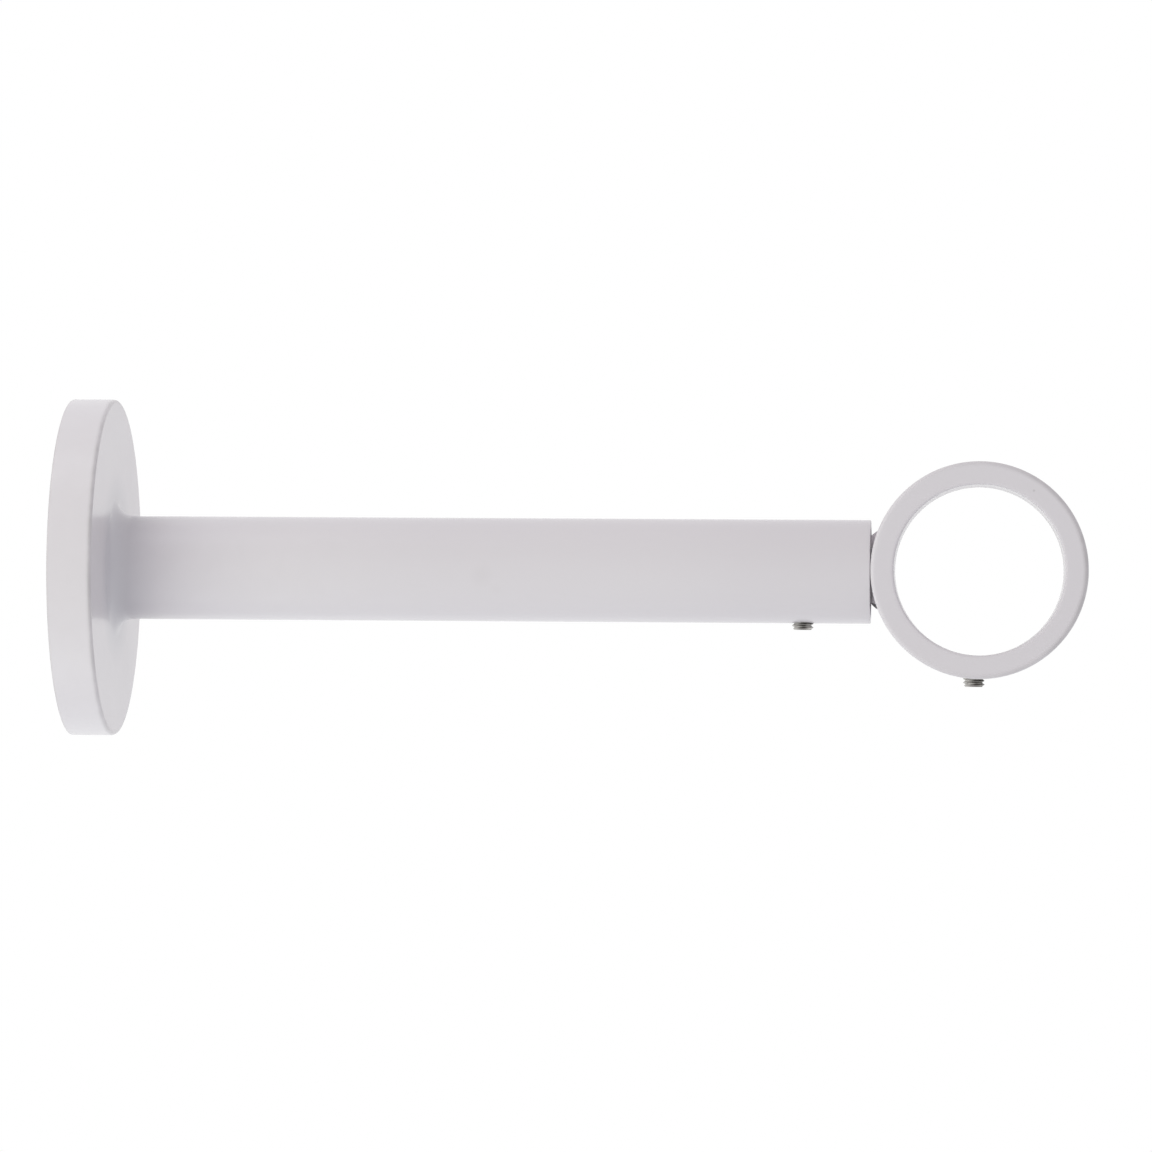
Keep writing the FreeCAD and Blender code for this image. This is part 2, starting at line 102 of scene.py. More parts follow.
class BracketShapes(bpy.types.PropertyGroup):
    """Sizes of the bracket's pieces that its outside box doesn't give."""

    rose_wall: FloatProperty(
        name="Rose wall", description="Thickness of the rose's face and rim",
        default=2.0 * MM, min=0.5 * MM, unit="LENGTH")
    rose_hole: FloatProperty(
        name="Rose hole", description="Radius of the hole that the stud passes through",
        default=4.3 * MM, min=1 * MM, unit="LENGTH")
    hub_radius: FloatProperty(
        name="Rose hub", description="Radius of the hub behind the rose's face",
        default=11.0 * MM, min=5 * MM, unit="LENGTH")
    root_fillet: FloatProperty(
        name="Root fillet", description="Radius of the weld fillet between rose and arm",
        default=3.3 * MM, min=0.5 * MM, unit="LENGTH")
    edge_round: FloatProperty(
        name="Rose edge rounding", description="Rounding of the rose's front edge",
        default=0.65 * MM, min=0.05 * MM, unit="LENGTH")
    ring_round: FloatProperty(
        name="Ring edge rounding", description="Rounding of the ring's outer edges",
        default=0.75 * MM, min=0.05 * MM, unit="LENGTH")
    bore_round: FloatProperty(
        name="Ring bore rounding", description="Rounding of the edges of the ring's bore",
        default=0.50 * MM, min=0.05 * MM, unit="LENGTH")
    arm_round: FloatProperty(
        name="Arm end rounding", description="Rounding of the arm's outer end",
        default=0.15 * MM, min=0.05 * MM, unit="LENGTH")
    coat_build: FloatProperty(
        name="Coat build", description="Thickness of the coat on the arm's sawn end",
        default=0.20 * MM, min=0, unit="LENGTH")
    small_round: FloatProperty(
        name="Small edge rounding", description="Rounding of hidden and bored edges",
        default=0.18 * MM, min=0.02 * MM, unit="LENGTH")
    sink_radius: FloatProperty(
        name="Countersink", description="Radius of the countersink round a wall screw hole",
        default=4.5 * MM, min=2 * MM, unit="LENGTH")
    arm_wall: FloatProperty(
        name="Arm wall", description="Wall of the arm tube",
        default=1.2 * MM, min=0.5 * MM, unit="LENGTH")
    rod_radius: FloatProperty(
        name="Rod", description="Radius of the sliding rod",
        default=6.0 * MM, min=2 * MM, unit="LENGTH")
    groove_depth: FloatProperty(
        name="Rod groove", description="Depth of the groove that the glide sits in",
        default=1.0 * MM, min=0.2 * MM, unit="LENGTH")
    thread_pitch: FloatProperty(
        name="Set screw pitch", description="Pitch of the set screws' thread",
        default=0.7 * MM, min=0.3 * MM, unit="LENGTH")
    stud_pitch: FloatProperty(
        name="Stud pitch", description="Pitch of the wall stud's thread",
        default=1.25 * MM, min=0.3 * MM, unit="LENGTH")
    key_size: FloatProperty(
        name="Hexagon socket", description="Width across flats of a set screw's socket",
        default=2.0 * MM, min=0.5 * MM, unit="LENGTH")
    key_depth: FloatProperty(
        name="Socket depth", description="Depth of a set screw's socket",
        default=2.2 * MM, min=0.5 * MM, unit="LENGTH")
    weld_height: FloatProperty(
        name="Weld height", description="How far the weld climbs up the ring from the rod",
        default=1.5 * MM, min=0.3 * MM, unit="LENGTH")
    weld_top: FloatProperty(
        name="Upper weld", description="How far the weld above the rod reaches along it",
        default=1.3 * MM, min=0.2 * MM, unit="LENGTH")
    weld_bottom: FloatProperty(
        name="Lower weld", description="How far the weld below the rod reaches along it",
        default=1.05 * MM, min=0.2 * MM, unit="LENGTH")
    turn_steps: IntProperty(
        name="Steps in a turn", description="Steps of a turned surface", default=160, min=24)


class BracketFinish(bpy.types.PropertyGroup):
    """Colours and textures of the bracket's finishes."""

    coat: FloatVectorProperty(
        name="White coat", description="Colour of the powder coat",
        default=(0.715, 0.693, 0.712), min=0, max=1, size=3, subtype="COLOR")
    coat_shade: FloatVectorProperty(
        name="Coat shade", description="Slightly duller tone that drifts through the coat",
        default=(0.695, 0.673, 0.695), min=0, max=1, size=3, subtype="COLOR")
    # Partly thin coat on edges and partly painted shade on edges turned away from the light; also the
    # tone of the small darker spots
    edge_thin_coat_and_shade: FloatVectorProperty(
        name="Thin coat", description="Tone of the coat where it is thin on an edge",
        default=(0.50, 0.485, 0.49), min=0, max=1, size=3, subtype="COLOR")
    # Painted shade: a darker, cooler coat tone that stands in for the shade in the hollow corner where
    # the arm leaves the rose
    painted_corner_shade: FloatVectorProperty(
        name="Corner dust", description="Dull, cooler tone of the coat in hollow corners",
        default=(0.565, 0.565, 0.60), min=0, max=1, size=3, subtype="COLOR")
    # Near-black tone of the spot at the lower weld's tip
    near_black: FloatVectorProperty(
        name="Bare steel", description="Colour of marks where the coat is missing",
        default=(0.035, 0.032, 0.031), min=0, max=1, size=3, subtype="COLOR")
    coat_peel: FloatProperty(
        name="Orange peel", description="Width of the coat's orange peel waves",
        default=1.1 * MM, min=0.1 * MM, unit="LENGTH")
    zinc: FloatVectorProperty(
        name="Zinc plating", description="Colour of the plated steel",
        default=(0.58, 0.60, 0.63), min=0, max=1, size=3, subtype="COLOR")
    zinc_shade: FloatVectorProperty(
        name="Zinc shade", description="Darker, warmer tone of the plating",
        default=(0.42, 0.43, 0.42), min=0, max=1, size=3, subtype="COLOR")
    screw: FloatVectorProperty(
        name="Screw steel", description="Colour of the set screws",
        default=(0.20, 0.192, 0.18), min=0, max=1, size=3, subtype="COLOR")
    screw_crest: FloatVectorProperty(
        name="Screw crests", description="Rubbed tone of the thread's crests",
        default=(0.46, 0.45, 0.43), min=0, max=1, size=3, subtype="COLOR")
    # Painted highlight: the light steel tone painted on the front sides of the set screws
    painted_screw_highlight: FloatVectorProperty(
        name="Bright steel", description="Tone of the side of a set screw that is rubbed bright",
        default=(0.62, 0.61, 0.585), min=0, max=1, size=3, subtype="COLOR")
    nylon: FloatVectorProperty(
        name="Nylon", description="Colour of the glide ring",
        default=(0.72, 0.70, 0.62), min=0, max=1, size=3, subtype="COLOR")
    nylon_shade: FloatVectorProperty(
        name="Nylon shade", description="Rubbed tone of the glide ring",
        default=(0.60, 0.575, 0.49), min=0, max=1, size=3, subtype="COLOR")


class BracketStage(bpy.types.PropertyGroup):
    """Floor, light and camera."""

    floor_drop: FloatProperty(
        name="Floor drop", description="Distance from the rose's lowest point down to the floor",
        default=0.72, min=0, unit="LENGTH")
    floor_radius: FloatProperty(
        name="Floor radius", description="Radius of the round floor", default=0.8, min=0.3, unit="LENGTH")
    floor_colour: FloatVectorProperty(
        name="Floor", description="Colour of the floor", default=(0.92, 0.92, 0.925),
        min=0, max=1, size=3, subtype="COLOR")
    sky_strength: FloatProperty(
        name="Surroundings", description="Strength of the surroundings' light", default=1.19, min=0)
    sky_colour: FloatVectorProperty(
        name="Light around", description="Colour of the light from above and around",
        default=(0.551, 0.526, 0.547), min=0, max=1, size=3, subtype="COLOR")
    sky_low_colour: FloatVectorProperty(
        name="Light from below", description="Colour of the light thrown up from below",
        default=(0.887, 0.972, 0.997), min=0, max=1, size=3, subtype="COLOR")
    key_colour: FloatVectorProperty(
        name="Key colour", description="Colour of the soft lamp at the front left",
        default=(1.0, 0.99, 0.77), min=0, max=1, size=3, subtype="COLOR")
    key_power: FloatProperty(
        name="Key lamp", description="Power of the soft lamp at the front left",
        default=0.485, min=0, unit="POWER")
    fill_colour: FloatVectorProperty(
        name="Fill colour", description="Colour of the soft lamps above and below the rose",
        default=(0.93, 0.99, 1.0), min=0, max=1, size=3, subtype="COLOR")
    fill_power: FloatProperty(
        name="Fill lamps", description="Power of each soft lamp above and below the rose",
        default=0.326, min=0, unit="POWER")
    camera_place: FloatVectorProperty(
        name="Camera place", description="Where the camera stands",
        default=(0.16578, -1.02049, -0.01284), size=3, subtype="TRANSLATION", unit="LENGTH")
    camera_yaw: FloatProperty(
        name="Camera yaw", description="Turn of the camera to the left", default=0.0711,
        subtype="ANGLE", unit="ROTATION")
    camera_pitch: FloatProperty(
        name="Camera pitch", description="Upward tilt of the camera", default=0.0115,
        subtype="ANGLE", unit="ROTATION")
    camera_roll: FloatProperty(
        name="Camera roll", description="Anticlockwise roll of the camera", default=0.0069,
        subtype="ANGLE", unit="ROTATION")
    focal_pixels: FloatProperty(
        name="Focal length", description="Focal length in pixels of the photograph", default=5569.2)
    photo_pixels: FloatProperty(
        name="Photograph", description="Width of the photograph in pixels", default=1152.0)


# Shaping: solids are turned, threaded, carved and softened as bmesh data

ROUND_STEPS = 5
ROUND_STEP_LENGTH = 0.4 * MM
HOLD = 0.35 * MM
TOUCH = 1e-7


def turned(corners, steps):
    """A closed solid turned about the X axis from corners (along, out, rounding)."""
    bm = bmesh.new()
    points = [bm.verts.new((along, 0.0, out)) for along, out, rounding in corners]
    bm.faces.new(points)
    for point, (along, out, rounding) in zip(points, corners):
        if rounding:
            segments = max(ROUND_STEPS, math.ceil(rounding * math.pi / 2 / ROUND_STEP_LENGTH))
            bmesh.ops.bevel(
                bm, geom=[point], offset=rounding, segments=segments, profile=0.5,
                affect="VERTICES", material=-1)
    bmesh.ops.delete(bm, geom=bm.faces[:], context="FACES_ONLY")
    on_axis = [edge for edge in bm.edges if all(abs(vert.co.z) < TOUCH for vert in edge.verts)]
    bmesh.ops.delete(bm, geom=on_axis, context="EDGES")
    hold_ends(bm)
    bmesh.ops.spin(
        bm, geom=bm.verts[:] + bm.edges[:], cent=(0, 0, 0), axis=(1, 0, 0), dvec=(0, 0, 0),
        angle=FULL_TURN, steps=steps, use_merge=True, use_duplicate=False)
    bmesh.ops.remove_doubles(bm, verts=bm.verts[:], dist=TOUCH)
    bmesh.ops.recalc_face_normals(bm, faces=bm.faces[:])
    return bm


def hold_ends(bm):
    """Splits each long stretch of an outline near its ends, so that edge wear and the painted edge shade
    stay at the edges.
    """
    for edge in [edge for edge in bm.edges if edge.calc_length() > 3 * HOLD]:
        share = HOLD / edge.calc_length()
        start, end = edge.verts
        rest, middle = bmesh.utils.edge_split(edge, start, share)
        long_part = next(part for part in middle.link_edges if end in part.verts)
        bmesh.utils.edge_split(long_part, end, HOLD / long_part.calc_length())


def drum(radius, low, high, top_radius=None, sides=64):
    """A closed upright drum, cone or prism between two heights."""
    bm = bmesh.new()
    bmesh.ops.create_cone(
        bm, cap_ends=True, cap_tris=False, segments=sides, radius1=radius,
        radius2=radius if top_radius is None else top_radius, depth=high - low,
        matrix=Matrix.Translation((0, 0, (low + high) / 2)))
    return bm


def threaded(radius, pitch, low, high, steps=72):
    """A closed upright rod with a right-hand thread, a little longer than low to high."""
    depth = 0.5 * pitch
    tooth = ((0.0, radius - depth), (0.25, radius - depth), (0.5625, radius), (0.6875, radius))
    turns = math.ceil((high - low) / pitch) + 3
    bm = bmesh.new()
    line = []
    for turn in range(turns):
        for share, out in tooth:
            line.append(bm.verts.new((out, 0.0, low + (turn + share - 2) * pitch)))
    for lower, upper in zip(line, line[1:]):
        bm.edges.new((lower, upper))
    bmesh.ops.spin(
        bm, geom=bm.verts[:] + bm.edges[:], cent=(0, 0, 0), axis=(0, 0, 1),
        dvec=(0, 0, pitch / steps), angle=FULL_TURN, steps=steps, use_merge=False,
        use_duplicate=False)
    bmesh.ops.remove_doubles(bm, verts=bm.verts[:], dist=TOUCH * 10)
    for height, way in ((low - pitch / 3, -1), (high + pitch / 3, 1)):
        bmesh.ops.bisect_plane(
            bm, geom=bm.verts[:] + bm.edges[:] + bm.faces[:], dist=TOUCH,
            plane_co=(0, 0, height), plane_no=(0, 0, way), clear_outer=True)
        rim = [edge for edge in bm.edges if edge.is_boundary and
               all(abs(vert.co.z - height) < TOUCH * 10 for vert in edge.verts)]
        bmesh.ops.holes_fill(bm, edges=rim)
    bmesh.ops.recalc_face_normals(bm, faces=bm.faces[:])
    return bm


def carved(blank, tool, way="DIFFERENCE"):
    """The solid that is left of a blank after a tool is cut from it or kept in common with it."""
    holders = []
    for solid in (blank, tool):
        mesh = bpy.data.meshes.new("blank")
        solid.to_mesh(mesh)
        solid.free()
        holder = bpy.data.objects.new("blank", mesh)
        bpy.context.scene.collection.objects.link(holder)
        holders.append(holder)
    change = holders[0].modifiers.new("change", "BOOLEAN")
    change.operation = way
    change.solver = "EXACT"
    change.object = holders[1]
    bpy.context.view_layer.update()
    result = bmesh.new()
    result.from_object(holders[0], bpy.context.evaluated_depsgraph_get())
    for holder in holders:
        mesh = holder.data
        bpy.data.objects.remove(holder)
        bpy.data.meshes.remove(mesh)
    return result


def moved(bm, matrix):
    """The same solid in its new place."""
    bmesh.ops.transform(bm, matrix=matrix, verts=bm.verts[:])
    return bm


def softened(bm, width, wanted, segments=3):
    """The same solid with the sharp edges that pass a test rounded."""
    sharp = math.radians(30)
    edges = [edge for edge in bm.edges
             if edge.calc_face_angle(0.0) > sharp and all(wanted(vert.co) for vert in edge.verts)]
    if not edges:
        raise RuntimeError("no edge to soften was found")
    bmesh.ops.bevel(
        bm, geom=edges, offset=width, segments=segments, profile=0.5, affect="EDGES",
        material=-1, clamp_overlap=True)
    return bm


def near_upright(place, radius):
    """A test for points on an upright bore wall."""
    def test(point):
        return abs(math.hypot(point.x - place.x, point.y - place.y) - radius) < 0.01 * MM
    return test


def mark_edges(bm, exposed):
    """Writes how convex the surface is where it is exposed into the attribute named edge."""
    layer = bm.verts.layers.float.new("edge")
    for vert in bm.verts:
        sharpest = max((edge.calc_face_angle_signed(0.0) for edge in vert.link_edges), default=0.0)
        vert[layer] = min(1.0, max(0.0, sharpest) / math.radians(18)) * exposed(vert.co)


def everywhere(point):
    """A test that every point passes."""
    return True


def outer_ring(point):
    """A test for points on the outer half of the pole ring's wall."""
    out = math.hypot(point.x - RING_CENTRE.x, point.z - RING_CENTRE.z)
    return out > (RING_BORE + RING_RADIUS) / 2


def finished(bm, name, body, material, nodes, crease=35, exposed=everywhere):
    """Makes a solid into a shaded piece that rides on a body and stands for its nodes."""
    bmesh.ops.remove_doubles(bm, verts=bm.verts[:], dist=TOUCH)
    mark_edges(bm, exposed)
    mesh = bpy.data.meshes.new(name)
    bm.to_mesh(mesh)
    bm.free()
    mesh.shade_smooth()
    mesh.set_sharp_from_angle(angle=math.radians(crease))
    mesh.materials.append(material)
    piece = bpy.data.objects.new(name, mesh)
    bpy.context.scene.collection.objects.link(piece)
    even = piece.modifiers.new("even shading", "WEIGHTED_NORMAL")
    even.keep_sharp = True
    even.weight = 80
    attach(piece, body)
    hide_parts(*nodes)
    return piece


# Finishing: each finish is one node material on Object coordinates


def add(tree, kind, **settings):
    """A new node with some of its settings made."""
    node = tree.nodes.new(kind)
    for setting, chosen in settings.items():
        setattr(node, setting, chosen)
    return node


def new_finish(name):
    """An empty material: its node tree, its shader and its Object coordinates."""
    material = bpy.data.materials.get(name)
    if material:
        bpy.data.materials.remove(material)
    material = bpy.data.materials.new(name)
    material.use_nodes = True
    tree = material.node_tree
    shader = tree.nodes["Principled BSDF"]
    place = add(tree, "ShaderNodeTexCoord").outputs["Object"]
    return material, tree, shader, place


def waves(tree, place, width, detail=2.0, stretch=(1, 1, 1)):
    """Noise whose features are about as wide as given, stretched along an axis if wanted."""
    mapping = add(tree, "ShaderNodeMapping")
    mapping.inputs["Scale"].default_value = stretch
    noise = add(tree, "ShaderNodeTexNoise")
    noise.inputs["Scale"].default_value = 1 / width
    noise.inputs["Detail"].default_value = detail
    tree.links.new(place, mapping.inputs["Vector"])
    tree.links.new(mapping.outputs["Vector"], noise.inputs["Vector"])
    return noise.outputs["Fac"]


def spread(tree, source, low, high, new_low=0.0, new_high=1.0):
    """A number taken from one span to another, and held inside it."""
    node = add(tree, "ShaderNodeMapRange")
    for name, chosen in (("From Min", low), ("From Max", high),
                         ("To Min", new_low), ("To Max", new_high)):
        node.inputs[name].default_value = chosen
    tree.links.new(source, node.inputs["Value"])
    return node.outputs["Result"]


def combine(tree, way, first, second):
    """Two numbers, each a socket or a constant, put together."""
    node = add(tree, "ShaderNodeMath", operation=way)
    for socket, chosen in zip(node.inputs, (first, second)):
        if isinstance(chosen, bpy.types.NodeSocket):
            tree.links.new(chosen, socket)
        else:
            socket.default_value = chosen
    return node.outputs["Value"]


def tint(tree, share, low, high):
    """A colour between two colours, each a socket or a constant."""
    node = add(tree, "ShaderNodeMix", data_type="RGBA")
    tree.links.new(share, node.inputs["Factor"])
    for name, chosen in (("A", low), ("B", high)):
        socket = next(item for item in node.inputs if item.name == name and item.type == "RGBA")
        if isinstance(chosen, bpy.types.NodeSocket):
            tree.links.new(chosen, socket)
        else:
            socket.default_value = (*chosen, 1.0)
    return next(item for item in node.outputs if item.type == "RGBA")


def spot(tree, place, centre, radius, softness=0.5):
    """1 within a ball round a point, fading to 0 at its surface."""
    node = add(tree, "ShaderNodeVectorMath", operation="DISTANCE")
    tree.links.new(place, node.inputs[0])
    node.inputs[1].default_value = centre
    return spread(tree, node.outputs["Value"], radius * (1 - softness), radius, 1.0, 0.0)


def convex(tree):
    """How convex the surface is, as mark_edges wrote it."""
    return add(tree, "ShaderNodeAttribute", attribute_name="edge").outputs["Fac"]


def root_nearness(tree, place, near, far):
    """1 in the corner where the arm leaves the rose, fading to 0 from one distance to another: where the
    painted corner shade lies.
    """
    node = add(tree, "ShaderNodeSeparateXYZ")
    tree.links.new(place, node.inputs["Vector"])
    along = combine(tree, "SUBTRACT", node.outputs["X"], ROSE_FACE)
    across = combine(tree, "MULTIPLY", node.outputs["Y"], node.outputs["Y"])
    upward = combine(tree, "MULTIPLY", node.outputs["Z"], node.outputs["Z"])
    radial = combine(tree, "SQRT", combine(tree, "ADD", across, upward), 0.0)
    out = combine(tree, "SUBTRACT", radial, ARM_RADIUS)
    span = combine(tree, "ADD", combine(tree, "MULTIPLY", along, along),
                   combine(tree, "MULTIPLY", out, out))
    return spread(tree, combine(tree, "SQRT", span, 0.0), near, far, 1.0, 0.0)


def raise_surface(tree, shader, heights):
    """Chains bumps from (height socket, how high in metres) onto the shader."""
    normal = None
    for height, rise in heights:
        bump = add(tree, "ShaderNodeBump")
        bump.inputs["Strength"].default_value = 1.0
        bump.inputs["Distance"].default_value = rise
        tree.links.new(height, bump.inputs["Height"])
        if normal:
            tree.links.new(normal, bump.inputs["Normal"])
        normal = bump.outputs["Normal"]
    tree.links.new(normal, shader.inputs["Normal"])


# Darker edges, partly where the coat is thin and partly painted shade on edges turned away from the
# light: place and radius in metres, share of the darker edge tone
EDGES_THIN_COAT_AND_SHADE = {
    "rose_and_arm": (((ROSE_FACE, -ROSE_RADIUS, 0.0), 90 * MM, 0.75),),
    # On the ring the darkening is centred on its right side, away from the light: painted shade there
    "pole_ring": ((RING_CENTRE + Vector((RING_RADIUS, HEAD_LOW.y, 0.0)), 36 * MM, 0.95),),
}

# Small darker spots on the coat: place and radius in metres, share of the darker edge tone
SMALL_DARK_SPOTS = {
    "rose_and_arm": (
        ((ROSE_FACE, -0.0290, 0.0021), 0.35 * MM, 0.35),
        ((ROSE_FACE, 0.0035, -0.0128), 0.50 * MM, 0.55),
        ((0.0765, -ARM_RADIUS, -0.0012), 2.4 * MM, 0.10),
        ((0.0790, -ARM_RADIUS, -0.0040), 1.6 * MM, 0.08),
    ),
    "pole_ring": (
        ((RING_CENTRE.x + 0.00975, HEAD_LOW.y, RING_CENTRE.z + 0.01443), 0.30 * MM, 0.75),
    ),
}


def white_coat(settings, name, near_black_spots=(), peel_rise=0.0035 * MM, painted_lightening=1.0):
    """Satin white powder coat: orange peel, drifting tone, darker edges that are partly thin coat and
    partly painted shade, painted shade in the corner at the arm's root, small darker spots, near-black
    spots where given, and painted light where the coat is made lighter.
    """
    material, tree, shader, place = new_finish(f"white_coat_{name}")
    drift = spread(tree, waves(tree, place, 45 * MM, 1.0), 0.2, 0.8)
    # Painted light: a lightness above 1 makes every tone of the coat lighter
    coat, shade = [tuple(part * painted_lightening for part in tone)
                   for tone in (settings.coat, settings.coat_shade)]
    colour = tint(tree, drift, coat, shade)
    grain = spread(tree, waves(tree, place, 0.45 * MM, 2.0), 0.4, 0.75, 0.0, 0.28)
    colour = tint(tree, grain, colour, shade)
    uneven = spread(tree, waves(tree, place, 3.5 * MM, 2.0), 0.3, 0.7, 0.45, 1.0)
    # Edges darken towards the darker edge tone, partly as thin coat and partly as painted shade
    edge_darkening = combine(tree, "MULTIPLY", convex(tree), uneven)
    for centre, radius, strength in EDGES_THIN_COAT_AND_SHADE.get(name, ()):
        reach = combine(tree, "MULTIPLY", spot(tree, place, centre, radius, 0.8), strength)
        colour = tint(tree, combine(tree, "MULTIPLY", edge_darkening, reach), colour, settings.edge_thin_coat_and_shade)
    if name == "rose_and_arm":
        # Painted shade in the corner where the arm leaves the rose, strongest at the root and gone 9 mm
        # away
        painted_shade = combine(tree, "MULTIPLY", root_nearness(tree, place, 1 * MM, 9 * MM), 0.75)
        colour = tint(tree, painted_shade, colour, settings.painted_corner_shade)
    for centre, radius, strength in SMALL_DARK_SPOTS.get(name, ()):
        mark = combine(tree, "MULTIPLY", spot(tree, place, centre, radius, 0.8), strength)
        colour = tint(tree, mark, colour, settings.edge_thin_coat_and_shade)
    ragged = waves(tree, place, 0.7 * MM, 3.0)
    # Near-black spots with ragged edges
    for centre, radius in near_black_spots:
        patch = combine(tree, "ADD", spot(tree, place, centre, radius, 0.7), ragged)
        colour = tint(tree, spread(tree, patch, 0.85, 1.0), colour, settings.near_black)
    tree.links.new(colour, shader.inputs["Base Color"])
    shine = spread(tree, waves(tree, place, 12 * MM, 2.0), 0.2, 0.8, 0.225, 0.268)
    tree.links.new(shine, shader.inputs["Roughness"])
    shader.inputs["IOR"].default_value = 1.5
    peel = waves(tree, place, settings.coat_peel, 1.5)
    powder = waves(tree, place, 0.16 * MM, 2.0)
    raise_surface(tree, shader, ((peel, peel_rise), (powder, 0.0002 * MM)))
    return material


def zinc_plate(settings):
    """Bright zinc plating on pressed steel: cloudy tone, fine rolling lines, rubbed edges."""
    material, tree, shader, place = new_finish("zinc_plate")
    clouds = spread(tree, waves(tree, place, 9 * MM, 4.0), 0.35, 0.7)
    lines = waves(tree, place, 0.35 * MM, 2.0, stretch=(1, 0.03, 1))
    mix = combine(tree, "MULTIPLY_ADD", clouds, 0.7)
    tree.links.new(spread(tree, lines, 0.3, 0.7, 0.0, 0.3), mix.node.inputs[2])
    colour = tint(tree, mix, settings.zinc, settings.zinc_shade)
    rubbed = combine(tree, "MULTIPLY", convex(tree), 0.5)
    colour = tint(tree, rubbed, colour, (0.74, 0.75, 0.76))
    tree.links.new(colour, shader.inputs["Base Color"])
    shader.inputs["Metallic"].default_value = 1.0
    tree.links.new(spread(tree, clouds, 0.0, 1.0, 0.29, 0.42), shader.inputs["Roughness"])
    raise_surface(tree, shader, ((lines, 0.004 * MM), (waves(tree, place, 0.5 * MM, 3.0), 0.003 * MM)))
    return material


def screw_steel(settings, painted_highlight_spots):
    """Plain hardened steel: dark, slightly oily, rubbed brighter on the crests, with painted highlights
    on the spots given.
    """
    material, tree, shader, place = new_finish("screw_steel")
    patches = spread(tree, waves(tree, place, 1.2 * MM, 3.0), 0.35, 0.7)
    colour = tint(tree, patches, settings.screw, tuple(part * 0.6 for part in settings.screw))
    # Painted highlights: lighter steel spots on the screws' front sides
    for centre, radius in painted_highlight_spots:
        colour = tint(tree, spot(tree, place, centre, radius, 0.5), colour, settings.painted_screw_highlight)
    rubbed = combine(tree, "MULTIPLY", convex(tree), 0.4)
    colour = tint(tree, rubbed, colour, settings.screw_crest)
    tree.links.new(colour, shader.inputs["Base Color"])
    shader.inputs["Metallic"].default_value = 1.0
    tree.links.new(spread(tree, patches, 0.0, 1.0, 0.3, 0.48), shader.inputs["Roughness"])
    raise_surface(tree, shader, ((waves(tree, place, 0.25 * MM, 3.0), 0.002 * MM),))
    return material


def natural_nylon(settings):
    """Moulded nylon: milky, slightly glossy, rubbed where it slides."""
    material, tree, shader, place = new_finish("natural_nylon")
    rubbed = spread(tree, waves(tree, place, 1.5 * MM, 3.0, stretch=(0.15, 1, 1)), 0.4, 0.7)
    colour = tint(tree, rubbed, settings.nylon, settings.nylon_shade)
    tree.links.new(colour, shader.inputs["Base Color"])
    tree.links.new(spread(tree, rubbed, 0.0, 1.0, 0.35, 0.5), shader.inputs["Roughness"])
    shader.inputs["Subsurface Weight"].default_value = 0.15
    shader.inputs["Subsurface Radius"].default_value = (1.0, 0.9, 0.7)
    shader.inputs["Subsurface Scale"].default_value = 0.8 * MM
    raise_surface(tree, shader, ((waves(tree, place, 0.6 * MM, 2.0), 0.004 * MM),))
    return material


ALONG_Y = Matrix.Rotation(math.pi / 2, 4, "Z")
UP_TO_ALONG_X = Matrix.Rotation(math.pi / 2, 4, "Y")


class BRACKET_OT_rose_and_arm(bpy.types.Operator):
    """Turn the rose and the arm that is welded to it, and drill the arm's set screw hole"""

    bl_idname = "bracket.rose_and_arm"
    bl_label = "Rose and arm"

    def execute(self, context):
        shapes = context.scene.bracket_shapes
        inside = ARM_RADIUS - shapes.arm_wall
        floor = ROSE_FACE - shapes.rose_wall
        small = shapes.small_round
        end = ARM_HIGH.x + shapes.coat_build
        blank = turned((
            (0.0, ROSE_RADIUS, small),
            (ROSE_FACE, ROSE_RADIUS, shapes.edge_round),
            (ROSE_FACE, ARM_RADIUS, shapes.root_fillet),
            (end, ARM_RADIUS, shapes.arm_round),
            (end, inside, small),
            (ROSE_FACE, inside, 0.0),
            (ROSE_FACE, shapes.rose_hole, 0.0),
            (PLATE_HIGH.x, shapes.rose_hole, small),
            (PLATE_HIGH.x, shapes.hub_radius, small * 2),
            (floor, shapes.hub_radius, small * 2),
            (floor, ROSE_RADIUS - shapes.rose_wall, 1.0 * MM),
            (0.0, ROSE_RADIUS - shapes.rose_wall, small),
        ), shapes.turn_steps)
        place = (ARM_SCREW_LOW + ARM_SCREW_HIGH) / 2
        hole = SCREW_RADIUS + 0.05 * MM
        drill = drum(hole, -2 * ARM_RADIUS, -ARM_RADIUS / 2)
        drill = moved(drill, Matrix.Translation((place.x, 0, 0)))
        blank = softened(carved(blank, drill), 0.16 * MM, near_upright(place, hole))
        coat = white_coat(context.scene.bracket_finish, "rose_and_arm")
        finished(blank, "rose_and_arm", "wall_side", coat, ["rose", "arm_tube"])
        return {"FINISHED"}


